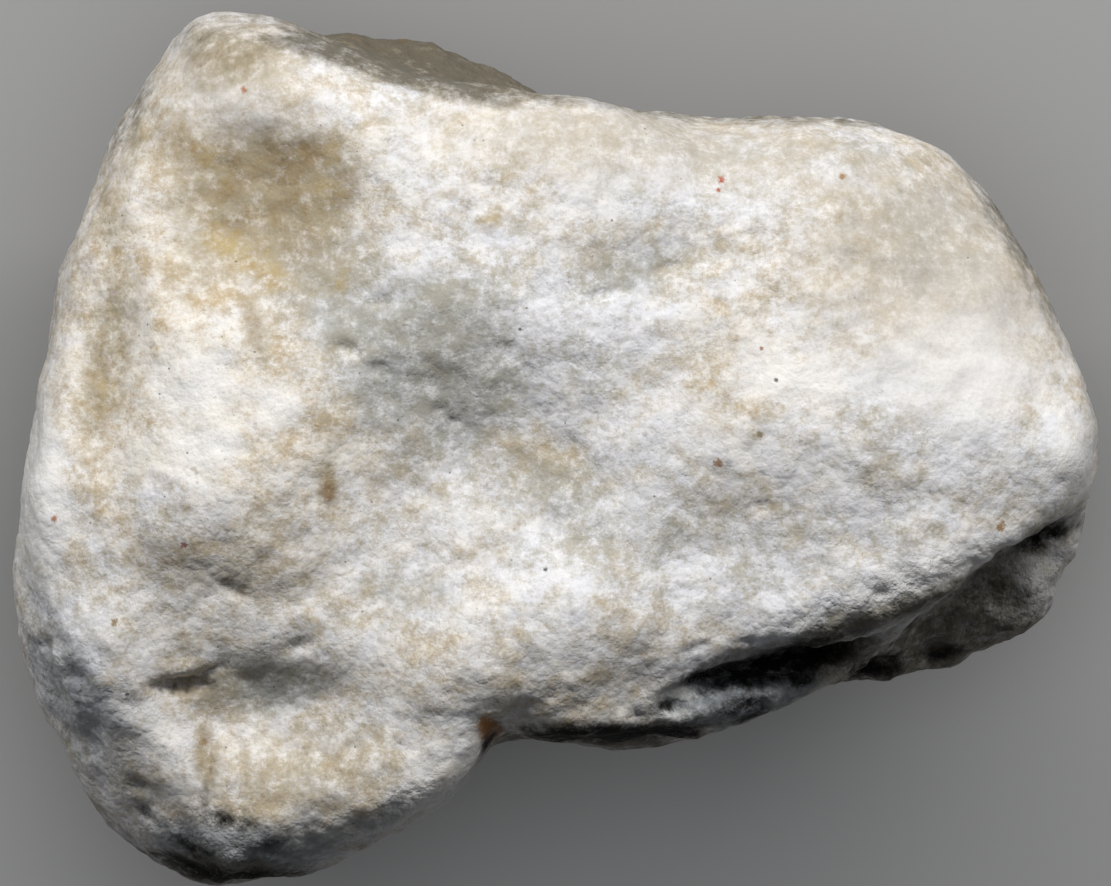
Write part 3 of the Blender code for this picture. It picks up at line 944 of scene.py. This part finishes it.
            # the white lumps go on before the painted crevice shade, and not where the dirt and
            # painted shade lie
            if coat.tint is Tint.CREVICE_SHADE:
                lumps = layers.clump + self.white_by_sugar * (layers.sugar - 0.5)
                white = lumps.step(*self.white_rim) * self.white_share
                clean_and_lit = (1.0 - graph.painted(Tint.GRIME_AND_SHADE)).clamped()
                colour = graph.blend(white * clean_and_lit, colour, self.chalk_and_highlight)
            cover = graph.painted(coat.tint)
            uneven = self.rag_by_patch * (layers.patch - layers.clump)
            uneven = uneven + self.rag_by_sugar * (layers.sugar - 0.5)
            ragged = cover + (self.rag_of_bare + cover) * coat.rag * uneven
            share = ragged.step(*self.stain_rim) * coat.most
            colour = graph.blend(share, colour, bodies[coat.tint])
        return colour

    def _marked(self, graph: Graph, layers: Layers, colour: Shade) -> Shade:
        """Adds brown flecks in the silt, small pits, dark grains, painted glints and pinpricks.

        Args:
            graph: the material's nodes.
            layers: the noise layers.
            colour: the stained stone's colour.

        Returns:
            The marked stone's colour.
        """
        flecks = layers.hue.step(*self.fleck_hue_rim) * layers.clump.step(*self.fleck_clump_rim)
        flecks = flecks * graph.painted(Tint.TAN) * self.fleck_share
        colour = graph.blend(flecks, colour, self.brown)
        fresh = 1.0 - self.worn_cover * graph.painted(Tint.WORN_AND_SHADE)
        pits = graph.noise(self.pit_noise) + self.pit_by_patch * (layers.patch - 0.5)
        pits = pits.step(*self.pit_rim)
        colour = graph.blend(pits * self.pit_share * fresh, colour, self.pit)
        dark = (1 - layers.sugar).step(*self.dark_grain_rim)
        colour = graph.blend(dark * self.grain_and_glint_share * fresh, colour, self.pit)
        # painted highlight: light grains of the sugary noise stand for glints of crystal faces
        light = layers.sugar.step(*self.glint_rim)
        colour = graph.blend(light * self.grain_and_glint_share * fresh, colour, self.chalk_and_highlight)
        pins = 1 - graph.cells(self.pin_cell).step(*self.pin_rim)
        pins = pins * layers.patch.step(*self.pin_patch_rim) * self.pin_share
        colour = graph.blend(pins, colour, self.pin)
        shade = 1.0 + self.mottle * (layers.clump - 0.5) + self.grain * (layers.sugar - 0.5)
        return graph.blend(1.0, colour, graph.grey(shade), "MULTIPLY")

    def _spot(self, graph: Graph, speck: Speck, rag: Shade) -> Shade:
        """How strongly a speck covers each point: it reaches far down, and its rim is ragged.

        Args:
            graph: the material's nodes.
            speck: the speck.
            rag: the noise that frays its rim.

        Returns:
            One share for each point.
        """
        place = graph.node("ShaderNodeTexCoord", out="Object")
        centre = tuple(value * MM for value in speck.at)
        away = graph.node("ShaderNodeVectorMath", {"operation": "SUBTRACT"}, {0: place, 1: centre})
        squeeze = {0: away, 1: self.speck_squeeze}
        flat = graph.node("ShaderNodeVectorMath", {"operation": "MULTIPLY"}, squeeze)
        far = graph.node("ShaderNodeVectorMath", {"operation": "LENGTH"}, {0: flat}, out="Value")
        frayed = far / (speck.radius * MM) + self.speck_by_sugar * (rag - 0.5)
        return 1 - frayed.step(*self.speck_rim)

    def _relief(self, graph: Graph) -> Shade:
        """Adds up the relief that is too fine for the mesh.

        Args:
            graph: the material's nodes.

        Returns:
            Its height above the mesh, in millimetres.
        """
        lumps = self.lump_height * graph.noise(self.lump_noise)
        whole = graph.noise(self.patch_noise).step(*self.crystal_rim)
        crystals = -self.crystal_depth * graph.cells(self.crystal_cell) * whole
        sugar = self.sugar_height * graph.noise(self.sugar_noise)
        broken = self.broken_gain * graph.painted(Tint.BROKEN)
        rough = 1 + broken - self.worn_loss * graph.painted(Tint.WORN_AND_SHADE)
        return (lumps + crystals + sugar) * rough


@dataclass
class Rock:
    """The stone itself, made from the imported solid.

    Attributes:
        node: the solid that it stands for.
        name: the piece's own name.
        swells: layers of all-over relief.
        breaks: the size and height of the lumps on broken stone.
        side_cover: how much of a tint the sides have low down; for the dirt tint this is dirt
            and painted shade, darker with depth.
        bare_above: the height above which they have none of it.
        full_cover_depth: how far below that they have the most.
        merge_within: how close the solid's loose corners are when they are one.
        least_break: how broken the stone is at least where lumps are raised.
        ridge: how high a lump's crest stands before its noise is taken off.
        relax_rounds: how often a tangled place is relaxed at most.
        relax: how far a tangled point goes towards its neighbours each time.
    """

    node: str = "gypsum_rock"
    name: str = "gypsum_rock_stone"
    swells: Sequence[Swell] = SWELLS
    breaks: Sequence[Pair] = ((5.6, 1.5), (2.6, 1.0), (1.3, 0.45))
    side_cover: Mapping[Tint, float] = field(
        default_factory=lambda: {Tint.GRIME_AND_SHADE: 0.42, Tint.TAN: 0.2, Tint.BROKEN: 0.32}
    )
    bare_above: float = 40.0
    full_cover_depth: float = 14.0
    merge_within: float = 0.01
    least_break: float = 0.02
    ridge: float = 0.4
    relax_rounds: int = 20
    relax: float = 0.5

    def build(self, frame: Mapping[str, Any]) -> bpy.types.Object:
        """Makes the stone, dresses it and hands it to the frame.


        Returns:
            The finished stone.
        """
        stone = self._copy(frame["nodes"][self.node])
        self._subdivide(stone)
        self._strike(stone, CAVES)
        self._subdivide(stone)
        for number, swell in enumerate(self.swells):
            self._swell(stone, swell, number)
        self._strike(stone, FINE_STROKES)
        self._break_up(stone)
        self._untangle(stone)
        self._keep_in(stone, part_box(self.node))
        for tint in Tint:
            self._paint(stone, tint)
        stone.data.materials.clear()
        stone.data.materials.append(GypsumFinish().make())
        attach(stone, "root")
        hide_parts(self.node)
        return stone

    def _copy(self, solid: bpy.types.Object) -> bpy.types.Object:
        """Copies the solid and merges the copy's loose triangles into quads.

        Args:
            solid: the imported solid, which stays as it is.

        Returns:
            The copy.
        """
        stone = bpy.data.objects.new(self.name, solid.data.copy())
        bpy.context.scene.collection.objects.link(stone)
        select_only(stone)
        bpy.ops.object.mode_set(mode="EDIT")
        bpy.ops.mesh.select_all(action="SELECT")
        bpy.ops.mesh.remove_doubles(threshold=self.merge_within * MM)
        bpy.ops.mesh.tris_convert_to_quads(face_threshold=math.pi, shape_threshold=math.pi)
        bpy.ops.object.mode_set(mode="OBJECT")
        bpy.ops.object.shade_smooth()
        return stone

    def _subdivide(self, stone: bpy.types.Object) -> None:
        """Rounds and refines the stone by one level.

        Args:
            stone: the stone.
        """
        modifier = stone.modifiers.new("round", "SUBSURF")
        modifier.levels = modifier.render_levels = 1
        apply_modifier(stone, modifier)

    def _swell(self, stone: bpy.types.Object, swell: Swell, number: int) -> None:
        """Raises and sinks the whole surface by a layer of noise.

        Args:
            stone: the stone.
            swell: the layer.
            number: its number, for the texture's name.
        """
        texture = bpy.data.textures.new(f"swell_{number}", "CLOUDS")
        texture.noise_scale = swell.size * MM
        texture.noise_depth = 1
        modifier = stone.modifiers.new("swell", "DISPLACE")
        modifier.texture = texture
        modifier.texture_coords = "LOCAL"
        modifier.mid_level = 0.5
        modifier.strength = swell.height * MM
        apply_modifier(stone, modifier)

    def _strike(self, stone: bpy.types.Object, strokes: Iterable[Stroke]) -> None:
        """Works a set of strokes into the stone, one after the other.

        Args:
            stone: the stone.
            strokes: the strokes.
        """
        points, normals = read_points(stone)
        for stroke in strokes:
            share = fall_off(points, stroke.at, stroke.reach, stroke.turn, stroke.edge)[:, None]
            points = points - stroke.sink * share * normals + share * np.array(stroke.shift)
        write_points(stone, points)

    def _break_up(self, stone: bpy.types.Object) -> None:
        """Raises ridged lumps where the stone is broken.

        Args:
            stone: the stone.
        """
        points, normals = read_points(stone)
        broken = self._cover(points, Tint.BROKEN)
        for i in np.flatnonzero(broken > self.least_break):
            for size, height in self.breaks:
                ridge = self.ridge - abs(noise.noise(Vector(points[i]) / size))
                points[i] += broken[i] * height * ridge * normals[i]
        write_points(stone, points)

    def _untangle(self, stone: bpy.types.Object) -> None:
        """Relaxes the few places where a deep stroke pushed the surface through itself.

        Args:
            stone: the stone, which comes out in triangles.
        """
        mesh = bmesh.new()
        mesh.from_mesh(stone.data)
        bmesh.ops.triangulate(mesh, faces=mesh.faces)
        for _ in range(self.relax_rounds):
            tangled = tangled_points(mesh)
            if not tangled:
                break
            around = {edge.other_vert(point) for point in tangled for edge in point.link_edges}
            points = sorted(tangled | around, key=lambda point: point.index)
            axes = {"use_axis_x": True, "use_axis_y": True, "use_axis_z": True}
            bmesh.ops.smooth_vert(mesh, verts=points, factor=self.relax, **axes)
        mesh.to_mesh(stone.data)
        mesh.free()

    def _keep_in(self, stone: bpy.types.Object, box: tuple[Vector, Vector]) -> None:
        """Keeps the stone above the surface that it lies on.

        Args:
            stone: the stone.
            box: the solid's lowest and highest corners.
        """
        points, _ = read_points(stone)
        points[:, 2] = np.maximum(points[:, 2], box[0].z / MM)
        write_points(stone, points)

    def _paint(self, stone: bpy.types.Object, tint: Tint) -> None:
        """Paints all the stains of one tint into an attribute of its name.

        Args:
            stone: the stone.
            tint: the tint.
        """
        points, _ = read_points(stone)
        attribute = stone.data.attributes.new(tint.value, "FLOAT", "POINT")
        attribute.data.foreach_set("value", self._cover(points, tint).astype(np.float32))

    def _cover(self, points: np.ndarray, tint: Tint) -> np.ndarray:
        """How strongly all the stains of one tint cover each point.

        Args:
            points: the points, in millimetres.
            tint: the tint.

        Returns:
            One share for each point.
        """
        most = self.side_cover.get(tint, 0.0)
        # dirt and painted shade for the dirt tint: the sides darken with depth
        bare = 1 - most * np.clip((self.bare_above - points[:, 2]) / self.full_cover_depth, 0, 1)
        for stain in STAINS[tint]:
            bare *= 1 - stain.strength * fall_off(points, stain.at, stain.reach, stain.turn)
        return 1 - bare


@dataclass
class Studio:
    """The floor, the lights and the camera.

    Attributes:
        view_width: how much the camera takes in, at the height of the stone's widest line.
        view_height: the height of that line.
        camera_height: the camera's height above it.
        sight: how far the camera sees.
        middle: the x and y that the camera looks down on.
        floor_size: the floor's side.
        floor_tone: the floor's lightness.
        floor_swing: how far its lightness swings.
        floor_noise: the noise that it swings with.
        floor_roughness: how dull it is.
        key: the long lamp that models the stone.
        fill: the weak lamp that opens its shadows.
        wash: the lamp that lights the floor alone.
        surround: the colour of the even light all round.
        surround_strength: how strong that is.
    """

    view_width: float = 94.1
    view_height: float = 28.0
    camera_height: float = 2600.0
    sight: float = 20000.0
    middle: Pair = (-0.04, 0.17)
    floor_size: float = 4000.0
    floor_tone: float = 0.22
    floor_swing: float = 0.02
    floor_noise: Grain = Grain(60.0, seed=0.4)
    floor_roughness: float = 0.9
    key: Lamp = Lamp("key", (0.0, 400.0, 430.0), (1300.0, 90.0), 5.8, (1.0, 0.985, 0.96))
    fill: Lamp = Lamp("fill", (-60.0, 60.0, 600.0), (300.0, 300.0), 0.2, (0.93, 0.96, 1.0))
    wash: Lamp = Lamp("floor wash", (0.0, -60.0, 700.0), (500.0, 500.0), 3.0, (0.97, 0.98, 1.0))
    surround: Triple = (0.8, 0.85, 0.9)
    surround_strength: float = 0.03

    def build(self) -> None:
        """Makes the floor, the lights, the world and the camera."""
        floor = self._floor()
        self._hang(self.key)
        self._hang(self.fill)
        wash = self._hang(self.wash)
        lit = bpy.data.collections.new("lit by the wash")
        lit.objects.link(floor)
        wash.light_linking.receiver_collection = lit
        self._world()
        self._camera()

    def _floor(self) -> bpy.types.Object:
        """Lays a plain pale floor.

        Returns:
            The floor.
        """
        bpy.ops.mesh.primitive_plane_add(size=self.floor_size * MM)
        floor = bpy.context.object
        floor.name = "floor"
        graph = Graph("floor_paper")
        tone = self.floor_tone + self.floor_swing * graph.noise(self.floor_noise)
        graph.feed(graph.shader.inputs["Base Color"], graph.grey(tone))
        graph.feed(graph.shader.inputs["Roughness"], self.floor_roughness)
        floor.data.materials.append(graph.material)
        return floor

    def _hang(self, lamp: Lamp) -> bpy.types.Object:
        """Hangs a lamp so that it faces the stone.

        Args:
            lamp: the lamp.

        Returns:
            The lamp's object.
        """
        light = bpy.data.lights.new(lamp.name, "AREA")
        light.shape = "RECTANGLE"
        light.size, light.size_y = lamp.size[0] * MM, lamp.size[1] * MM
        light.energy = lamp.power
        light.color = lamp.colour
        hung = bpy.data.objects.new(lamp.name, light)
        bpy.context.scene.collection.objects.link(hung)
        hung.location = Vector(lamp.place) * MM
        aim = Vector((0.0, 0.0, self.view_height)) * MM
        hung.rotation_euler = (hung.location - aim).to_track_quat("Z", "Y").to_euler()
        hung.visible_camera = False
        return hung

    def _world(self) -> None:
        """Sets a weak, even surround and a plain view of the colours."""
        world = bpy.data.worlds.new("surround")
        world.use_nodes = True
        background = world.node_tree.nodes["Background"]
        background.inputs["Color"].default_value = (*self.surround, 1.0)
        background.inputs["Strength"].default_value = self.surround_strength
        bpy.context.scene.world = world
        bpy.context.scene.view_settings.view_transform = "Standard"

    def _camera(self) -> None:
        """Hangs a camera with a long lens that looks straight down on the broad face."""
        camera = bpy.data.objects.new("camera", bpy.data.cameras.new("camera"))
        bpy.context.scene.collection.objects.link(camera)
        camera.data.lens = camera.data.sensor_width * self.camera_height / self.view_width
        camera.data.clip_end = self.sight * MM
        camera.location = Vector((*self.middle, self.view_height + self.camera_height)) * MM
        bpy.context.scene.camera = camera


def select_only(piece: bpy.types.Object) -> None:
    """Makes a piece the only selected and active one.

    Args:
        piece: the piece.
    """
    bpy.ops.object.select_all(action="DESELECT")
    piece.select_set(True)
    bpy.context.view_layer.objects.active = piece


def apply_modifier(piece: bpy.types.Object, modifier: bpy.types.Modifier) -> None:
    """Applies a piece's modifier to its mesh."""
    select_only(piece)
    bpy.ops.object.modifier_apply(modifier=modifier.name)


def read_points(piece: bpy.types.Object) -> tuple[np.ndarray, np.ndarray]:
    """Reads a mesh.

    Args:
        piece: the mesh's object.

    Returns:
        Its points, in millimetres, and the normals at them.
    """
    mesh = piece.data
    points = np.empty(len(mesh.vertices) * 3)
    mesh.vertices.foreach_get("co", points)
    normals = np.empty(len(mesh.vertices) * 3)
    mesh.vertex_normals.foreach_get("vector", normals)
    return points.reshape(-1, 3) / MM, normals.reshape(-1, 3)


def write_points(piece: bpy.types.Object, points: np.ndarray) -> None:
    """Moves a mesh's points, given in millimetres."""
    piece.data.vertices.foreach_set("co", (points * MM).ravel())
    piece.data.update()


def tangled_points(mesh: bmesh.types.BMesh) -> set[bmesh.types.BMVert]:
    """Finds where a mesh cuts through itself.

    Args:
        mesh: the mesh, in triangles.

    Returns:
        The points of all faces that cut through a face that they share no point with.
    """
    mesh.verts.index_update()
    mesh.faces.ensure_lookup_table()
    tree = BVHTree.FromBMesh(mesh)
    tangled: set[bmesh.types.BMVert] = set()
    for first, second in tree.overlap(tree):
        one, other = mesh.faces[first], mesh.faces[second]
        if first < second and not set(one.verts) & set(other.verts):
            tangled.update(one.verts, other.verts)
    return tangled


def fall_off(
    points: np.ndarray, at: Triple, reach: Triple, turn: float, edge: float = 1.0
) -> np.ndarray:
    """How strongly a mark acts at each point: 1 at its middle, 0 from its reach outwards.

    Args:
        points: the points, in millimetres.
        at: the mark's middle.
        reach: its reach along its own axes.
        turn: degrees that those axes are turned about Z.
        edge: the power of the fall-off; 2 is soft, 1 has a crisper rim.

    Returns:
        One share for each point.
    """
    away = points - np.array(at)
    c, s = math.cos(math.radians(turn)), math.sin(math.radians(turn))
    along, across = away[:, 0] * c + away[:, 1] * s, away[:, 1] * c - away[:, 0] * s
    own = np.column_stack([along, across, away[:, 2]])
    near = 1 - ((own / np.array(reach)) ** 2).sum(axis=1)
    return np.clip(near, 0, None) ** edge


def main() -> None:
    """Builds the stone and its studio."""
    logging.basicConfig(level=logging.INFO, format="%(name)s: %(message)s")
    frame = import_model()
    stone = Rock().build(frame)
    log.info("%s: %d faces", stone.name, len(stone.data.polygons))
    Studio().build()
    log.info("studio: floor, lamps and camera")
    bpy.context.view_layer.update()


if __name__ == "__main__":
    main()
